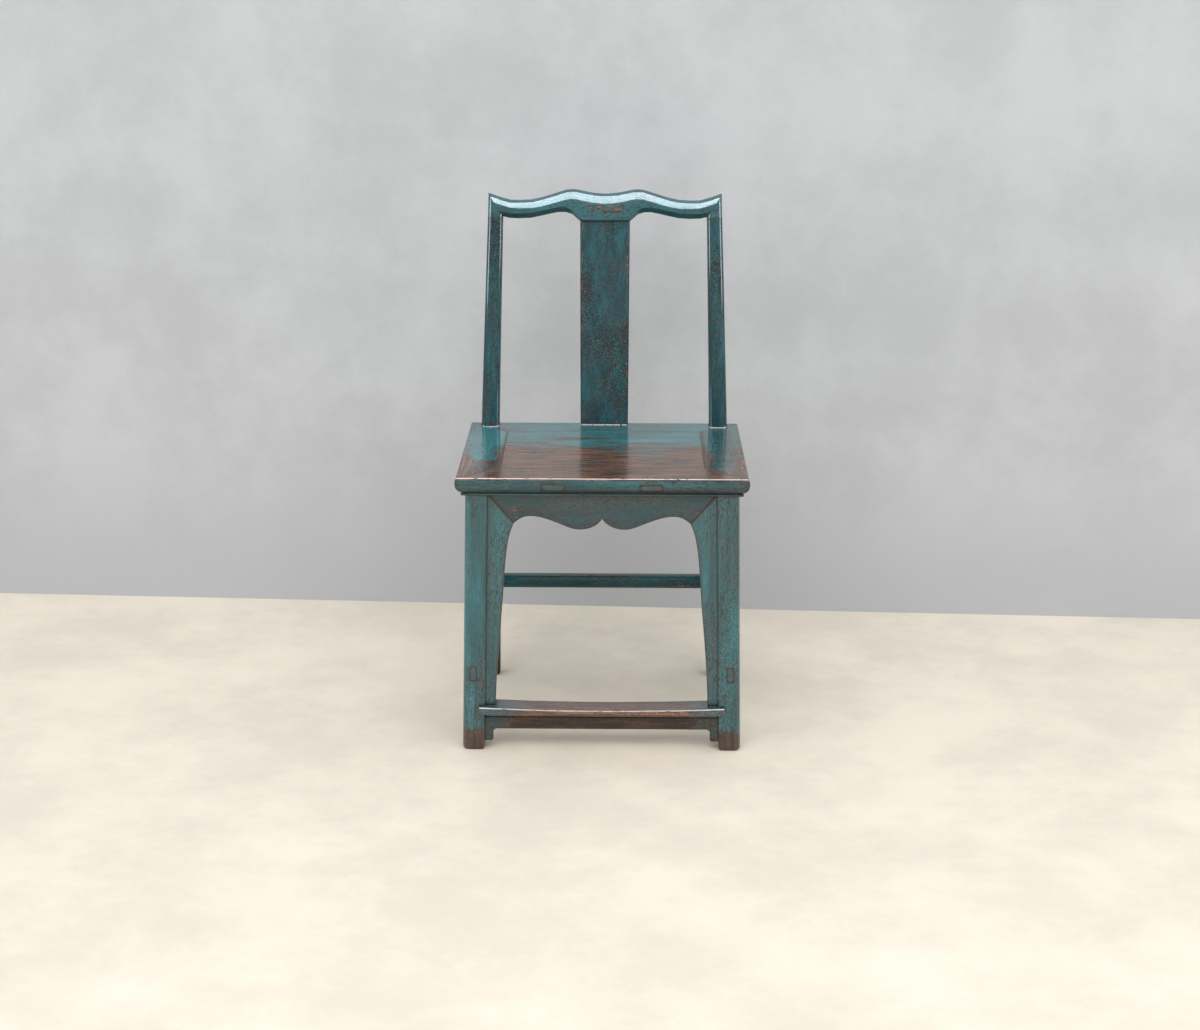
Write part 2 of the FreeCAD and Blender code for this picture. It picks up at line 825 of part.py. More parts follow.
def rear_stretcher(legs):
    """Rear stretcher, the highest of the four, shouldered against the rear legs."""
    height = rear_stretcher_place
    inner = rear_leg_inner_at(height)
    reach = inner + board_tongue
    middle = rear_leg_middle_at(height)
    half_deep = rear_stretcher_depth / 2
    half_high = rear_stretcher_height / 2
    wire = even_wire(lambda u, v: Vector(-reach, middle + u, height + v),
                     half_deep, half_high, stretcher_round)
    bar = Part.Face(wire).extrude(Vector(2 * reach, 0, 0)).cut(legs)
    reach = inner + rear_tenon_length
    half_deep = rear_tenon_thickness / 2
    half_high = rear_tenon_height / 2
    core = block(-reach, reach, middle - half_deep, middle + half_deep,
                 height - half_high, height + half_high)
    return bar.fuse(core)


def plain_apron(place, half_span, way):
    """Straight apron under the seat, with small bracket ends."""
    bottom = seat_underside - plain_apron_height
    edges = bracket_outline(place, half_span, seat_underside, bottom, bottom - plain_bracket_drop,
                            plain_bracket_width, plain_bracket_shoulder, plain_bracket_toe)
    return solid_along(edges, way)


def rear_apron():
    face = rear_leg_middle - plain_apron_thickness / 2
    return plain_apron(lambda u, z: Vector(u, face, z), rear_leg_inner,
                       Vector(0, plain_apron_thickness, 0))


def side_apron():
    """Right apron, set back from the outer faces of the legs."""
    face = rear_leg_outer - plain_apron_recess
    middle = (front_leg_back + rear_leg_front) / 2
    half_span = (rear_leg_front - front_leg_back) / 2
    return plain_apron(lambda u, z: Vector(face, middle + u, z), half_span,
                       Vector(-plain_apron_thickness, 0, 0))


def build():
    """Every piece of the chair by name, let into its neighbours."""
    front_legs = {"right": front_leg(), "left": mirrored(front_leg())}
    rear_legs = {"right": rear_leg(), "left": mirrored(rear_leg())}
    legs = list(front_legs.values()) + list(rear_legs.values())
    stretcher, stretcher_tenons = side_stretcher(front_legs["right"], rear_legs["right"])
    spandrel = front_spandrel()
    apron = side_apron()
    rail = right_rail()
    foot_board = footrest(list(front_legs.values()))
    low_apron = footrest_apron()
    high_apron = front_apron()
    back_apron = rear_apron()
    back_stretcher = rear_stretcher(list(rear_legs.values()))
    back_board = splat()
    back_tenon = splat_tenon()
    crest = crest_rail()
    battens = {"right": batten(1), "left": batten(-1)}
    long_rail = front_rail()
    rear_rail = long_rail.mirror(Vector(0, seat_depth / 2, 0), Vector(0, 1, 0))
    groove = tongue_slab(tongue_play)

    pieces = {
        "crest_rail": crest.cut(list(rear_legs.values()) + [back_board]),
        "splat": back_board.fuse(back_tenon),
        "seat_front_rail": long_rail.cut([groove] + legs + list(battens.values())),
        "seat_rear_rail": rear_rail.cut([groove, back_tenon] + legs + list(battens.values())),
        "seat_panel": seat_panel().cut(list(battens.values())),
        "front_apron": high_apron,
        "footrest": foot_board,
        "footrest_apron": low_apron,
        "rear_stretcher": back_stretcher,
        "rear_apron": back_apron,
    }
    sided = {"front_spandrel": spandrel.cut(foot_board), "stretcher": stretcher, "apron": apron}
    for side, placed in (("right", lambda shape: shape), ("left", mirrored)):
        for name, shape in sided.items():
            pieces[side + "_" + name] = placed(shape)
        tenons = [placed(tenon) for tenon in stretcher_tenons]
        pieces[side + "_front_leg"] = front_legs[side].cut(
            tenons + [placed(spandrel), placed(apron), foot_board, low_apron])
        pieces[side + "_rear_leg"] = rear_legs[side].cut(
            tenons + [placed(apron), back_stretcher, back_apron])
        pieces["seat_" + side + "_rail"] = placed(rail).cut([long_rail, rear_rail, groove] + legs)
        pieces[side + "_seat_batten"] = battens[side]
    return pieces


def main():
    pieces = build()
    box = Part.makeCompound(list(pieces.values())).optimalBoundingBox()
    to_middle = Vector(0, -(box.YMin + box.YMax) / 2, 0)
    os.makedirs("parts", exist_ok=True)
    for name, shape in pieces.items():
        solid = shape.removeSplitter()
        solid.translate(to_middle)
        solid.exportStep("parts/" + name + ".step")
        print(name, len(solid.Solids), solid.isValid(), round(solid.Volume))
    print("moved back by", round(to_middle.y, 3))


main()
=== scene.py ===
import bpy
import math
from mathutils import Matrix, Vector


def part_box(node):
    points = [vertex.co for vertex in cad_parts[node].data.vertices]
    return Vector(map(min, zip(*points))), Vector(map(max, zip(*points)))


# The painted side chair, dressed: worn blue-green lacquer over brown wood. Units are metres, in the
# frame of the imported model: x = 0 is the chair's middle, +Y its back and z = 0 the floor.

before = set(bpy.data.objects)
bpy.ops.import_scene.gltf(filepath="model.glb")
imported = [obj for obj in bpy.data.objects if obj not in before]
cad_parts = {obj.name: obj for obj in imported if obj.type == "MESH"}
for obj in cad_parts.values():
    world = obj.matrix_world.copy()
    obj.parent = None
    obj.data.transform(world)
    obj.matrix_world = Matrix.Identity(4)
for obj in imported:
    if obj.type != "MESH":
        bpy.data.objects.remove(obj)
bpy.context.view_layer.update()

# Places read from the model
seat_rail_low, seat_rail_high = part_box("seat_front_rail")
splat_low, splat_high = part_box("splat")
panel_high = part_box("seat_panel")[1]
crest_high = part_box("crest_rail")[1]
seat_front = seat_rail_low.y
seat_top = seat_rail_high.z
panel_side = panel_high.x
panel_back = panel_high.y
splat_side = splat_high.x
splat_foot = splat_low.z
splat_top = splat_high.z
crest_top = crest_high.z

# Sizes of the finish
millimetre = 0.001
arris_ease = 0.7 * millimetre
tenon_ease = 1.2 * millimetre
nosing_ease = 1.6 * millimetre
weld_reach = 0.001 * millimetre
arris_reach = 5.5 * millimetre
seam_reach = 4.0 * millimetre
corner_reach = 22.0 * millimetre
relief_height = 1.0 * millimetre
crackle_size = 5.0 * millimetre
crackle_waver = 4.0 * millimetre

# Fineness of the crackle's waver, as a share of the fineness of the crackle
waver_fineness_share = 0.4

# Fineness of a pattern on each axis, as a share of its fineness across the grain
grain_share = 0.06
slight_grain_share = 0.35
along_x = (grain_share, 1, 1)
along_y = (1, grain_share, 1)
along_z = (1, 1, grain_share)
slightly_along_z = (1, 1, slight_grain_share)

# Fineness of the layers of noise in the lacquer, in waves per metre
cloud_fineness = 11.0
patch_fineness = 26.0
drift_fineness = 70.0
streak_fineness = 190.0
spot_fineness = 260.0
pit_fineness = 560.0

# Colours of the finish, as linear light. The pale arris colour is a painted highlight, and the dark wood
# and soot colours also serve as painted shade
teal_dark = (0.004, 0.044, 0.055, 1)
teal = (0.011, 0.122, 0.142, 1)
teal_light = (0.036, 0.245, 0.275, 1)
film = (0.080, 0.074, 0.066, 1)
undercoat = (0.125, 0.044, 0.026, 1)
dark_arris = (0.066, 0.034, 0.023, 1)
painted_highlight_colour = (0.760, 0.660, 0.620, 1)
wood_dark_and_shade = (0.024, 0.012, 0.007, 1)
wood = (0.098, 0.041, 0.020, 1)
wood_light = (0.330, 0.128, 0.062, 1)
soot_and_shade = (0.009, 0.007, 0.005, 1)

# Shading measures: where nearly all noise lies, and where an arris and a crack fade out
usual_noise = (0.3, 0.7)
noise_middle = 0.5
arris_fade = (0.60, 0.88)
crack_fade = (0.05, 0.25)
shade_samples = 8

# Results of a span, from its start to its end
rising = (0.0, 1.0)
falling = (1.0, 0.0)


class Finish:
    """Builds the nodes of one material. A value is a number, a tuple or another node's output."""

    def __init__(self, name):
        self.material = bpy.data.materials.new(name)
        self.material.use_nodes = True
        self.nodes = self.material.node_tree.nodes
        self.links = self.material.node_tree.links
        self.shader = self.nodes["Principled BSDF"]
        self.place = self.node("ShaderNodeTexCoord").outputs["Object"]
        self.x, self.y, self.z = self.parts(self.place)

    def feed(self, socket, value):
        if isinstance(value, bpy.types.NodeSocket):
            self.links.new(value, socket)
        else:
            socket.default_value = value

    def node(self, kind, inputs=(), **settings):
        made = self.nodes.new(kind)
        for name, value in settings.items():
            setattr(made, name, value)
        for name, value in dict(inputs).items():
            self.feed(made.inputs[name], value)
        return made

    def parts(self, vector):
        return self.node("ShaderNodeSeparateXYZ", {"Vector": vector}).outputs

    def calculate(self, operation, first, second=0.0):
        return self.node("ShaderNodeMath", {0: first, 1: second}, operation=operation).outputs[0]

    def add(self, first, *others):
        for other in others:
            first = self.calculate("ADD", first, other)
        return first

    def subtract(self, first, second):
        return self.calculate("SUBTRACT", first, second)

    def times(self, first, *others):
        for other in others:
            first = self.calculate("MULTIPLY", first, other)
        return first

    def size_of(self, value):
        return self.calculate("ABSOLUTE", value)

    def blend(self, shares, values):
        """The sum of the values that the shares name, each times its share."""
        return self.add(*(self.times(values[name], share) for name, share in shares.items()))

    def spread(self, value, span, results=rising):
        """The first result up to the start of the span, the second from its end on, smooth between."""
        inputs = {"Value": value, "From Min": span[0], "From Max": span[1],
                  "To Min": results[0], "To Max": results[1]}
        return self.node("ShaderNodeMapRange", inputs, interpolation_type="SMOOTHSTEP").outputs[0]

    def band(self, value, middle, reach, fade):
        """1 within reach of middle, falling to 0 over the fade beyond it."""
        away = self.size_of(self.subtract(value, middle))
        return self.spread(away, (reach, reach + fade), falling)

    def noise(self, fineness, stretch=(1, 1, 1), detail=3.0, roughness=0.55, draw=0):
        """Smooth noise from 0 to 1. Each draw is another piece of it."""
        inputs = {"Vector": self.place, "Scale": stretch, "Location": (draw, draw, draw)}
        place = self.node("ShaderNodeMapping", inputs).outputs[0]
        inputs = {"Vector": place, "Scale": fineness, "Detail": detail, "Roughness": roughness}
        return self.node("ShaderNodeTexNoise", inputs).outputs["Fac"]

    def mix(self, factor, first, second, kind="RGBA"):
        """The first colour or place where the factor is 0, the second where it is 1."""
        made = self.node("ShaderNodeMix", data_type=kind)
        used = [socket for socket in made.inputs if socket.enabled]
        for socket, value in zip(used, (factor, first, second)):
            self.feed(socket, value)
        return next(socket for socket in made.outputs if socket.enabled)

    def arris(self):
        """Near 1 on an arris, where the wood behind the surface is thin, and 0 away from one."""
        inside = self.node("ShaderNodeAmbientOcclusion", {"Distance": arris_reach},
                           samples=shade_samples, inside=True, only_local=True)
        return self.spread(inside.outputs["AO"], arris_fade, falling)

    def closeness(self, reach):
        """Near 1 deep in a seam or corner, and 0 where nothing stands within reach."""
        around = self.node("ShaderNodeAmbientOcclusion", {"Distance": reach}, samples=shade_samples)
        return self.subtract(1.0, around.outputs["AO"])

    def crackle(self):
        """1 along the lines of a network of fine cracks, 0 between them."""
        fineness = 1 / crackle_size
        inputs = {"Vector": self.place, "Scale": waver_fineness_share * fineness}
        wavy = self.node("ShaderNodeTexNoise", inputs).outputs["Color"]
        inputs = {"Vector": self.mix(crackle_waver, self.place, wavy, "VECTOR"), "Scale": fineness}
        cells = self.node("ShaderNodeTexVoronoi", inputs, feature="DISTANCE_TO_EDGE")
        return self.spread(cells.outputs["Distance"], crack_fade, falling)


def noise_layers(finish, stretch):
    """The layers of noise that all the colours of one piece share, so that they belong together."""
    half_stretch = tuple(math.sqrt(part) for part in stretch)
    return {
        "cloud": finish.noise(cloud_fineness, half_stretch, detail=2.5),
        "patch": finish.noise(patch_fineness, half_stretch, roughness=0.6, draw=2),
        "drift": finish.noise(drift_fineness, stretch, detail=4.0, roughness=0.6, draw=3),
        "spot": finish.noise(spot_fineness, half_stretch, roughness=0.62, draw=5),
        "pit": finish.noise(pit_fineness, half_stretch, detail=2.5, draw=6),
        "streak": finish.noise(streak_fineness, stretch, detail=5.0, roughness=0.68, draw=7),
    }


# How far the span from the dark to the middle colour moves up on the deepest finish
deepest_move = 0.2


def moved(span, deep):
    """The span moved up: the deeper the finish, the more of it keeps its dark colour."""
    return tuple(end + deepest_move * deep for end in span)


# Paint: what its tone and its dust consist of, and the spans in which one colour becomes the next
tone_shares = {"drift": 0.45, "cloud": 0.40, "spot": 0.20}
dust_shares = {"patch": 1.0, "spot": 0.25}
dark_to_teal = (0.36, 0.60)
teal_to_light = (0.50, 0.72)
clean_to_dusty = (0.46, 0.78)
sloping_to_level = (0.70, 0.95)
fading_tones = (0.30, 0.60)
least_fading_share = 0.6


def paint_colour(finish, layers, up, light, deep, dirt, faded):
    """The blue-green paint, uneven in tone, faded where it faces up, with a film of dirt."""
    tone = finish.blend(tone_shares, layers)
    paint = finish.mix(finish.spread(tone, moved(dark_to_teal, deep)), teal_dark, teal)
    paint = finish.mix(finish.spread(tone, teal_to_light, (0.0, light)), paint, teal_light)
    level = finish.spread(up, sloping_to_level)
    fading = finish.times(level, finish.spread(tone, fading_tones, (least_fading_share, 1.0)), faded)
    paint = finish.mix(fading, paint, teal_light)
    dust = finish.blend(dust_shares, layers)
    return finish.mix(finish.spread(dust, clean_to_dusty, (0.0, dirt)), paint, film)


# Wood: what its light streaks consist of, and the spans in which one colour becomes the next
light_streak_shares = {"streak": 1.0, "cloud": 0.3}
dark_to_wood = (0.36, 0.54)
wood_to_light = (0.60, 0.76)


def wood_colour(finish, layers, deep, pale):
    """The bare wood under the paint, streaked along its grain."""
    bare = finish.mix(finish.spread(layers["streak"], moved(dark_to_wood, deep)), wood_dark_and_shade, wood)
    light_streaks = finish.blend(light_streak_shares, layers)
    return finish.mix(finish.spread(light_streaks, wood_to_light, (0.0, pale)), bare, wood_light)


# Painted shade on undersides and in corners, and dirt with painted shade along seams: the spans of
# facing and closeness in which each kind shows, and how dark it gets
level_to_underside = (-0.15, -0.70)
open_to_seam = (0.12, 0.50)
open_to_corner = (0.35, 0.90)
underside_shade_darkness = 0.60
seam_dirt_and_shade_darkness = 0.95
corner_shade_darkness = 0.45


def paint_shade_and_seam_dirt(finish, colour, up):
    """Painted shade where it faces down and in corners, and along seams dirt in the joints together with
    painted shade.
    """
    below = finish.spread(up, level_to_underside, (0.0, underside_shade_darkness))
    colour = finish.mix(below, colour, wood_dark_and_shade)
    seams = finish.spread(finish.closeness(seam_reach), open_to_seam, (0.0, seam_dirt_and_shade_darkness))
    colour = finish.mix(seams, colour, soot_and_shade)
    corners = finish.spread(finish.closeness(corner_reach), open_to_corner, (0.0, corner_shade_darkness))
    return finish.mix(corners, colour, wood_dark_and_shade)


# Wear: the spans of noise in which each kind begins and is full, and those of all wear together
fleck_spots = (0.54, 0.62)
fleck_patches = (0.42, 0.60)
least_fleck_share = 0.3
rubbed_streaks = (0.35, 0.65)
rubbed_clouds = (0.40, 0.65)
paint_to_undercoat = (0.34, 0.44)
undercoat_to_wood = (0.44, 0.56)
most_undercoat_share = 0.65
pit_dots = (0.55, 0.61)
pit_patches = (0.42, 0.56)
pit_darkness = 0.90
crack_clouds = (0.38, 0.56)
edge_drifts = (0.32, 0.48)
# The spots that break up the painted highlight along a pale line
highlight_spots = (0.36, 0.46)

# Gloss: the clear coat, and how much rougher or smoother the surface gets than its middle
coat_roughness = 0.10
coat_index = 1.6
smoother_by = 0.05
rougher_by = 0.10
wood_rougher_by = 0.05
edge_rougher_by = 0.25

# Relief: what raises the surface or, where the share is below zero, sinks it
relief_shares = {"streak": 0.4, "cloud": 1.8, "spot": 0.4, "gone": -0.5, "pits": -0.6, "cracks": -0.4}
relief_strength = 0.35


def set_gloss(finish, layers, gone, edge, gloss, sheen, coat):
    """Rougher on bare wood and on worn arrises, and without its clear coat on those arrises."""
    inputs = finish.shader.inputs
    roughness = finish.spread(layers["drift"], usual_noise, (gloss - smoother_by, gloss + rougher_by))
    roughness = finish.add(roughness, finish.times(gone, wood_rougher_by),
                           finish.times(edge, edge_rougher_by))
    finish.feed(inputs["Roughness"], roughness)
    finish.feed(inputs["Coat Weight"], finish.times(finish.subtract(1.0, edge), coat))
    inputs["Specular IOR Level"].default_value = sheen
    inputs["Coat Roughness"].default_value = coat_roughness
    inputs["Coat IOR"].default_value = coat_index


def set_relief(finish, layers):
    """Raised in streaks and waves; lower where the paint is gone, in pits and along cracks."""
    height = finish.blend(relief_shares, layers)
    inputs = {"Strength": relief_strength, "Distance": relief_height, "Height": height}
    bump = finish.node("ShaderNodeBump", inputs)
    finish.feed(finish.shader.inputs["Normal"], bump.outputs[0])


def lacquer(name, stretch, zone, highlight_line=None, light=0.5, deep=0.0, dirt=0.3, faded=0.0, fleck=0.5,
            rubbed=0.3, cracked=0.5, arris_wear=0.8, pale=1.0, gloss=0.3, sheen=0.5, coat=0.6):
    """Worn lacquer on a piece whose grain runs along the axis with the smallest part of stretch.

    zone takes the finish and gives how far the paint has gone by place, from 0 kept to 1 gone.
    The pale line argument, where there is one, gives the line along which a highlight is painted. Of the
    paint, light is how much of it is light, deep how dark the rest is, dirt how much film lies on it and
    faded how far its top has faded. fleck, rubbed, cracked and arris_wear are how much of each kind
    of wear there is, and pale how much of the wood is light. gloss is the middle roughness, sheen
    the strength of the paint's own reflection and coat that of the clear coat."""
    finish = Finish(name)
    layers = noise_layers(finish, stretch)
    facing = finish.node("ShaderNodeNewGeometry").outputs["Normal"]
    up = finish.parts(facing)["Z"]
    paint = paint_colour(finish, layers, up, light, deep, dirt, faded)
    bare = wood_colour(finish, layers, deep, pale)

    flecks = finish.times(finish.spread(layers["spot"], fleck_spots),
                          finish.spread(layers["patch"], fleck_patches, (least_fleck_share, 1.0)), fleck)
    worn_through = finish.times(finish.spread(layers["streak"], rubbed_streaks),
                                finish.spread(layers["cloud"], rubbed_clouds), rubbed)
    wear = finish.add(zone(finish), flecks, worn_through)
    gone = finish.spread(wear, undercoat_to_wood)
    rim = finish.spread(wear, paint_to_undercoat, (0.0, most_undercoat_share))
    colour = finish.mix(gone, finish.mix(rim, paint, undercoat), bare)

    pits = finish.times(finish.spread(layers["pit"], pit_dots),
                        finish.spread(layers["patch"], pit_patches), pit_darkness)
    colour = finish.mix(pits, colour, soot_and_shade)
    cracks = finish.times(finish.crackle(), finish.spread(layers["cloud"], crack_clouds), cracked)
    colour = finish.mix(cracks, colour, soot_and_shade)
    edge = finish.times(finish.arris(), finish.spread(layers["drift"], edge_drifts), arris_wear)
    colour = finish.mix(edge, colour, dark_arris)
    # Painted shade on undersides and in corners, dirt and painted shade along seams
    colour = paint_shade_and_seam_dirt(finish, colour, up)
    # A highlight painted in a pale colour along the pale line, broken by spots
    if highlight_line:
        painted_highlight = finish.times(highlight_line(finish), finish.spread(layers["spot"], highlight_spots))
        colour = finish.mix(painted_highlight, colour, painted_highlight_colour)
    finish.feed(finish.shader.inputs["Base Color"], colour)
    set_gloss(finish, layers, gone, edge, gloss, sheen, coat)
    set_relief(finish, {**layers, "gone": gone, "pits": pits, "cracks": cracks})
    return finish.material


def no_zone(finish):
    """Worn in no place more than in another."""
    return 0.0


# Seat: the streaky border of its paint, from the worn front to the back
seat_streak_share = 0.2
seat_streak_fineness = 38.0
seat_blot_fineness = 34.0
border_depth = 250 * millimetre
blot_depth = 120 * millimetre
border_wear = (0.80, 0.02)
border_raggedness = (-0.42, 0.42)

# Seat: the strip of each end rail on which paint is kept further forward
end_strip_lead = 125 * millimetre
end_strip_offset = 26 * millimetre
end_strip_reach = 12 * millimetre
end_strip_fade = 20 * millimetre

# Seat: the layer that counts as its top, and the rubbed line just below its arris
top_layer_start = 1.5 * millimetre
top_layer_end = 0.5 * millimetre
edge_line_drop = 2.2 * millimetre
edge_line_reach = 0.8 * millimetre
edge_line_fade = 0.5 * millimetre
edge_line_blots = (0.35, 0.50)
edge_line_wear = (0.36, 0.75)


def seat_wear(finish):
    """Paint kept along the rear of the seat, and further forward on its end rails, with a streaky
    border; gone from the middle and the front."""
    streaks = finish.noise(seat_streak_fineness, (seat_streak_share, 1, 1), detail=6.0, roughness=0.70,
                           draw=11)
    blots = finish.noise(seat_blot_fineness, detail=4.0, roughness=0.65, draw=12)
    on_ends = finish.band(finish.size_of(finish.x), panel_side + end_strip_offset, end_strip_reach,
                          end_strip_fade)
    uneven = finish.times(finish.subtract(blots, noise_middle), blot_depth)
    depth = finish.add(finish.y, finish.times(on_ends, end_strip_lead), uneven)
    border = finish.spread(depth, (panel_back - border_depth, panel_back), border_wear)
    streaky = finish.add(border, finish.spread(streaks, usual_noise, border_raggedness))
    on_top = finish.spread(finish.z, (seat_top - top_layer_start, seat_top - top_layer_end))
    line = finish.band(finish.z, seat_top - edge_line_drop, edge_line_reach, edge_line_fade)
    broken_line = finish.times(line, finish.spread(blots, edge_line_blots, edge_line_wear))
    return finish.add(finish.times(streaky, on_top), broken_line)


# Seat: the painted highlight along its front arris
nosing_inset = 1.5 * millimetre
nosing_fade = 1.0 * millimetre
nosing_drop = 0.9 * millimetre
nosing_drop_fade = 0.4 * millimetre


def seat_nosing(finish):
    """The front arris of the seat, on its top and a little way down its face, where a highlight is
    painted.
    """
    front = finish.band(finish.y, seat_front + nosing_inset, nosing_inset, nosing_fade)
    return finish.times(front, finish.band(finish.z, seat_top, nosing_drop, nosing_drop_fade))


# Posts and splat: the painted highlight where they stand on the seat
base_line_reach = 0.6 * millimetre
base_line_fade = 0.4 * millimetre


def base_line(finish):
    """The foot of a post or of the splat where it stands on the seat, on which a highlight is painted.
    """
    return finish.band(finish.z, seat_top + base_line_reach, base_line_reach, base_line_fade)


# Footrest: how far up and forward its eased arris faces at least to carry the painted highlight
nosing_facing = 0.2


def footrest_nosing(finish):
    """The eased arris between the top and the front, which faces up and forward, on which a highlight is
    painted.
    """
    facing = finish.node("ShaderNodeNewGeometry").outputs["True Normal"]
    facing_back, facing_up = finish.parts(facing)[1:]
    return finish.calculate("GREATER_THAN", finish.times(facing_back, facing_up, -1.0), nosing_facing)


# Feet: the height that is rubbed to the wood, and the shin above it, which is worn less
foot_fineness = 130.0
foot_grain_share = 0.4
foot_worn_height = 12 * millimetre
foot_height = 50 * millimetre
shin_height = 300 * millimetre
foot_wear = 0.85
shin_wear = 0.13
foot_raggedness = (-0.14, 0.12)


def feet_wear(finish):
    """The foot of a leg rubbed down to the wood, with a ragged edge."""
    ragged = finish.noise(foot_fineness, (1, 1, foot_grain_share), detail=4.0, draw=13)
    foot = finish.spread(finish.z, (foot_worn_height, foot_height), (foot_wear, 0.0))
    shin = finish.spread(finish.z, (foot_height, shin_height), (shin_wear, 0.0))
    return finish.add(foot, shin, finish.spread(ragged, usual_noise, foot_raggedness))


def worn_middle(bare_reach, paint_reach, fineness, wear, raggedness, draw):
    """The zone of a bar that is worn within bare_reach of its middle and kept beyond paint_reach,
    with a ragged border between."""
    def zone(finish):
        ragged = finish.noise(fineness, along_x, detail=4.0, draw=draw)
        middle = finish.spread(finish.size_of(finish.x), (bare_reach, paint_reach), (wear, 0.0))
        return finish.add(middle, finish.spread(ragged, usual_noise, (-raggedness, raggedness)))
    return zone


# Footrest and its apron: half the length that is bare, and where the paint is whole again
footrest_bare_reach = 110 * millimetre
low_apron_bare_reach = 140 * millimetre
bar_paint_reach = 200 * millimetre
footrest_fineness = 30.0
low_apron_fineness = 26.0
footrest_wear = worn_middle(footrest_bare_reach, bar_paint_reach, footrest_fineness, wear=0.70,
                            raggedness=0.22, draw=17)
low_apron_wear = worn_middle(low_apron_bare_reach, bar_paint_reach, low_apron_fineness, wear=0.66,
                             raggedness=0.20, draw=18)

# Crest rail: the place over the splat where it is rubbed through
hold_fineness = 140.0
hold_reach = 22 * millimetre
hold_fade = 20 * millimetre
hold_drop = 34 * millimetre
hold_height_reach = 4 * millimetre
hold_height_fade = 6 * millimetre
hold_patches = (0.47, 0.56)
hold_wear = 0.65


def crest_wear(finish):
    """Rubbed through in small patches over the splat, where a hand takes hold."""
    middle = finish.band(finish.x, 0.0, hold_reach, hold_fade)
    face = finish.band(finish.z, crest_top - hold_drop, hold_height_reach, hold_height_fade)
    patches = finish.spread(finish.noise(hold_fineness, draw=19), hold_patches)
    return finish.times(middle, face, patches, hold_wear)


# Splat: the bruises low down, more of them on the right
bruise_fineness = 120.0
bruise_grain_share = 0.45
bruise_height = 120 * millimetre
bruise_reach = 70 * millimetre
bruise_fade = 100 * millimetre
bruise_side_reach = 30 * millimetre
bruise_side_shares = (0.3, 1.0)
bruise_patches = (0.58, 0.68)
bruise_wear = 0.8

# Splat: the chipped line along each side, and the worn upper part
chip_fineness = 150.0
chip_inset = 3.5 * millimetre
chip_reach = 1.0 * millimetre
chip_fade = 1.0 * millimetre
chip_patches = (0.40, 0.55)
chip_wear = 0.5
worn_top_height = 280 * millimetre
worn_top_wear = 0.16


def splat_wear(finish):
    """Bruises low down, chips along both sides, and thinner paint towards the top."""
    bruise_noise = finish.noise(bruise_fineness, (bruise_grain_share, 1, 1), roughness=0.6, draw=23)
    low = finish.band(finish.z, splat_foot + bruise_height, bruise_reach, bruise_fade)
    one_side = finish.spread(finish.x, (-bruise_side_reach, bruise_side_reach), bruise_side_shares)
    bruises = finish.times(low, one_side, finish.spread(bruise_noise, bruise_patches), bruise_wear)
    sides = finish.band(finish.size_of(finish.x), splat_side - chip_inset, chip_reach, chip_fade)
    chip_noise = finish.noise(chip_fineness, along_z, draw=24)
    chips = finish.times(sides, finish.spread(chip_noise, chip_patches), chip_wear)
    high = finish.spread(finish.z, (splat_top - worn_top_height, splat_top), (0.0, worn_top_wear))
    return finish.add(chips, high, bruises)


# The finish of each piece
post_finish = lacquer("post_lacquer", along_z, feet_wear, base_line, light=0.2, deep=0.25, dirt=0.1,
                      fleck=0.6, cracked=0.9, pale=0.2, gloss=0.18, sheen=0.1, coat=0.5)
leg_finish = lacquer("leg_lacquer", along_z, feet_wear, light=1.0, dirt=0.05, fleck=0.45, rubbed=0.08,
                     arris_wear=0.45, pale=0.0)
board_finish = lacquer("board_lacquer", along_z, no_zone, light=0.55, dirt=0.2, fleck=0.35, rubbed=0.2,
                       arris_wear=1.0)
# The aprons' paint is darker, partly their own darker paint and partly painted shade, as they stand
# under the seat
apron_finish_with_painted_shade = lacquer("apron_lacquer", along_x, no_zone, light=0.1, deep=0.6, dirt=0.4, fleck=0.45,
                       arris_wear=1.0, sheen=0.3)
batten_finish = lacquer("batten_lacquer", along_x, no_zone, light=0.25, dirt=0.5, arris_wear=1.0)
side_finish = lacquer("side_board_lacquer", along_y, no_zone, light=0.3)
seat_finish = lacquer("seat_lacquer", along_x, seat_wear, seat_nosing, light=1.0, faded=1.0, fleck=0.3,
                      rubbed=0.1, cracked=0.4, arris_wear=0.5, gloss=0.14, sheen=0.35, coat=0.42)
seat_end_finish = lacquer("seat_end_lacquer", along_y, seat_wear, seat_nosing, light=0.8, dirt=0.1,
                          faded=1.0, fleck=0.35, rubbed=0.1, cracked=0.9, arris_wear=0.5, gloss=0.14,
                          sheen=0.35, coat=0.42)
finishes = {
    "crest_rail": lacquer("crest_lacquer", along_x, crest_wear, light=0.15, dirt=0.1, fleck=0.30,
                          rubbed=0.05, cracked=0.2, arris_wear=0.4, gloss=0.12, sheen=0.25),
    "splat": lacquer("splat_lacquer", slightly_along_z, splat_wear, base_line, light=0.0, deep=0.28,
                     dirt=0.2, fleck=0.4, rubbed=0.05, cracked=0.8, sheen=0.1, coat=0.5),
    "footrest": lacquer("footrest_lacquer", along_x, footrest_wear, footrest_nosing, light=0.1,
                        deep=0.1, dirt=0.4, gloss=0.2, coat=1.0),
    "footrest_apron": lacquer("low_apron_lacquer", along_x, low_apron_wear, light=0.0, deep=0.5,
                              dirt=0.9, pale=0.0, sheen=0.2),
    # The rear stretcher's paint is darker, partly its own dark paint and partly painted shade, as it
    # stands in the shade under the seat
    "rear_stretcher": lacquer("rear_bar_lacquer_with_painted_shade", along_x, no_zone, light=0.0, deep=0.3, dirt=0.4,
                              sheen=0.2, coat=0.5),
}
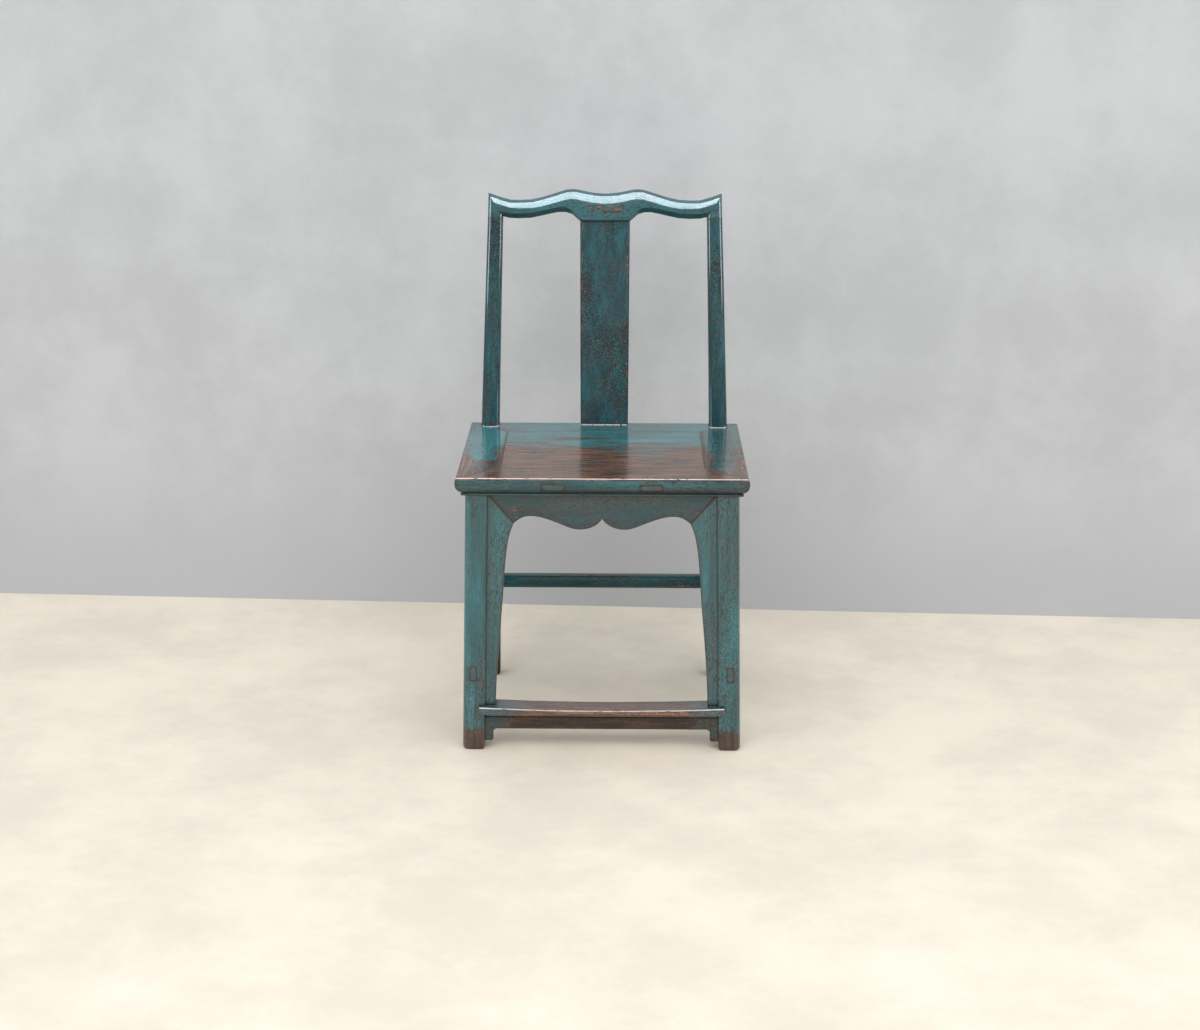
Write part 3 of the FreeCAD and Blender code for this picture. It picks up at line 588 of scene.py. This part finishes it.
for side in ("left", "right"):
    finishes[side + "_rear_leg"] = post_finish
    finishes[side + "_front_leg"] = leg_finish
    finishes[side + "_front_spandrel"] = board_finish
    finishes[side + "_stretcher"] = side_finish
    finishes[side + "_apron"] = side_finish
    finishes[side + "_seat_batten"] = batten_finish
    finishes["seat_" + side + "_rail"] = seat_end_finish
for name in ("front_apron", "rear_apron"):
    finishes[name] = apron_finish_with_painted_shade
for name in ("seat_front_rail", "seat_rear_rail", "seat_panel"):
    finishes[name] = seat_finish

for name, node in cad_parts.items():
    node.data.materials.clear()
    node.data.materials.append(finishes[name])


# Easing and shading of the arrises
sharp_angle = math.radians(28)
flat_angle = math.radians(0.5)
ease_segments = 2
normal_weight = 80


def weld(piece, name):
    piece.modifiers.new(name, "WELD").merge_threshold = weld_reach


def shade_evenly(piece):
    shading = piece.modifiers.new("shading", "WEIGHTED_NORMAL")
    shading.weight = normal_weight
    shading.keep_sharp = False


def ease_arrises(piece, width):
    """Rounds the sharp arrises a little, as planing and wear leave them, so that joints show."""
    weld(piece, "weld")
    facets = piece.modifiers.new("flat_faces", "DECIMATE")
    facets.decimate_type = "DISSOLVE"
    facets.angle_limit = flat_angle
    eased = piece.modifiers.new("eased_arrises", "BEVEL")
    eased.width = width
    eased.segments = ease_segments
    eased.limit_method = "ANGLE"
    eased.angle_limit = sharp_angle
    eased.use_clamp_overlap = False
    weld(piece, "weld_again")
    shade_evenly(piece)


def smooth_between_arrises(piece):
    """Shades a piece as the smooth curves it has, and keeps its sharp arrises."""
    weld(piece, "weld")
    piece.modifiers.new("arrises", "EDGE_SPLIT").split_angle = sharp_angle
    shade_evenly(piece)


# The notched front legs can't be eased cleanly, so the tenon ends that show in them are eased more
eases = {"footrest": nosing_ease, "left_stretcher": tenon_ease, "right_stretcher": tenon_ease}
kept_sharp = ("crest_rail", "left_front_leg", "right_front_leg")
for name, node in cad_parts.items():
    if name in kept_sharp:
        smooth_between_arrises(node)
    else:
        ease_arrises(node, eases.get(name, arris_ease))


# Floor and wall, plain and pale, where the photograph has them
floor_reach = 12.0
wall_distance = 0.60
wall_turn = math.radians(-3.0)
wall_height = 4.0
wall_darker_height = 0.40
lower_darkening_fade = 0.40
floor_colour = (0.91, 0.80, 0.66)
wall_colour = (0.545, 0.550, 0.565)
floor_roughness = 0.7
wall_roughness = 0.8

# Mottle of floor and wall: waves per metre, span from dark to clean, and dark as a share of clean
mottle_fineness = 2.5
mottle_span = (0.35, 0.65)
mottle_dark_share = 0.86


def plain_finish(name, colour, roughness, darker_height):
    """A pale surface, mottled, and a little darker up to the given height above the floor."""
    finish = Finish(name)
    mottle = finish.noise(mottle_fineness, detail=6.0, roughness=0.7)
    above_darkening = finish.spread(finish.z, (darker_height - lower_darkening_fade, darker_height))
    clean = finish.times(finish.spread(mottle, mottle_span), above_darkening)
    darker = tuple(mottle_dark_share * part for part in colour)
    finish.feed(finish.shader.inputs["Base Color"], finish.mix(clean, (*darker, 1), (*colour, 1)))
    finish.shader.inputs["Roughness"].default_value = roughness
    return finish


def see_through_from_behind(finish):
    """Leaves the chair's back in view from behind the surface."""
    from_behind = finish.node("ShaderNodeNewGeometry").outputs["Backfacing"]
    clear = finish.node("ShaderNodeBsdfTransparent").outputs[0]
    sides = finish.node("ShaderNodeMixShader", {0: from_behind, 1: finish.shader.outputs[0], 2: clear})
    finish.feed(finish.nodes["Material Output"].inputs["Surface"], sides.outputs[0])


def sheet(name, corners, finish):
    """A flat sheet that faces the side from which its corners run anticlockwise."""
    mesh = bpy.data.meshes.new(name)
    mesh.from_pydata(corners, [], [range(len(corners))])
    made = bpy.data.objects.new(name, mesh)
    bpy.context.collection.objects.link(made)
    made.data.materials.append(finish.material)
    return made


floor_finish = plain_finish("floor_finish", floor_colour, floor_roughness, darker_height=0.0)
floor = sheet("floor", [(-floor_reach, -floor_reach, 0), (floor_reach, -floor_reach, 0),
                        (floor_reach, floor_reach, 0), (-floor_reach, floor_reach, 0)], floor_finish)
wall_finish = plain_finish("wall_finish", wall_colour, wall_roughness, wall_darker_height)
see_through_from_behind(wall_finish)
wall = sheet("wall", [(-floor_reach, 0, 0), (floor_reach, 0, 0),
                      (floor_reach, 0, wall_height), (-floor_reach, 0, wall_height)], wall_finish)
wall.location = (0, wall_distance, 0)
wall.rotation_euler = (0, 0, wall_turn)


# Light of the open sky: a box in front, which shows in no gloss, and an even light all round
lamp_colour = (0.93, 0.97, 1.0)
sky_place = (0, -2.4, 2.7)
sky_aim = (0, -0.1, 0.2)
sky_width = 4.4
sky_depth = 2.2
sky_radiance = 1.9
world_colour = (0.95, 0.98, 1.0, 1)
world_strength = 0.95

# Cards that only show as gloss, one above the crest rail and one on each side of the chair
card_colour = (0.78, 0.91, 1.0)
top_card_place = (0, 0.22, 2.95)
top_card_aim = (0, 0.22, 0)
top_card_width = 3.4
top_card_depth = 0.60
top_card_radiance = 15.0
side_card_distance = 2.2
side_card_front = 0.15
side_card_height = 1.45
side_card_aim = (0, 0, 1.1)
side_card_width = 0.7
side_card_length = 1.5
side_card_radiance = 12.0


def softbox(name, place, aim, width, height, radiance):
    """Area light that faces the aim; its power follows from its radiance and size."""
    light = bpy.data.lights.new(name, "AREA")
    light.shape = "RECTANGLE"
    light.size = width
    light.size_y = height
    light.energy = radiance * math.pi * width * height
    light.color = lamp_colour
    made = bpy.data.objects.new(name, light)
    made.location = place
    made.rotation_euler = (Vector(aim) - Vector(place)).to_track_quat("-Z", "Y").to_euler()
    made.visible_camera = False
    bpy.context.collection.objects.link(made)
    return made


def card(name, place, aim, width, height, radiance):
    """A softbox in the colour of the sky, which lights nothing but shows as gloss."""
    made = softbox(name, place, aim, width, height, radiance)
    made.visible_diffuse = False
    made.data.color = card_colour


softbox("sky_box", sky_place, sky_aim, sky_width, sky_depth, sky_radiance).visible_glossy = False
card("top_card", top_card_place, top_card_aim, top_card_width, top_card_depth, top_card_radiance)
for name, side in (("left_card", -1), ("right_card", 1)):
    card(name, (side * side_card_distance, -side_card_front, side_card_height), side_card_aim,
         side_card_width, side_card_length, side_card_radiance)

world = bpy.data.worlds.new("studio")
bpy.context.scene.world = world
world.use_nodes = True
background = world.node_tree.nodes["Background"]
background.inputs["Color"].default_value = world_colour
background.inputs["Strength"].default_value = world_strength

# Camera, fitted to the photograph
photo_width_pixels = 1200
focal_pixels = 2208.6
film_width_millimetres = 36.0
camera_place = Vector((0.032, -3.8668, 1.4408))
camera_pitch = math.radians(15.514)
camera_yaw = math.radians(-0.560)
camera_roll = math.radians(0.153)

camera_data = bpy.data.cameras.new("camera")
camera_data.sensor_width = film_width_millimetres
camera_data.lens = film_width_millimetres * focal_pixels / photo_width_pixels
camera = bpy.data.objects.new("camera", camera_data)
bpy.context.collection.objects.link(camera)
camera.matrix_world = (Matrix.Translation(camera_place)
                       @ Matrix.Rotation(-camera_yaw, 4, "Z")
                       @ Matrix.Rotation(math.pi / 2 - camera_pitch, 4, "X")
                       @ Matrix.Rotation(camera_roll, 4, "Z"))
bpy.context.scene.camera = camera
bpy.context.scene.view_settings.view_transform = "Standard"
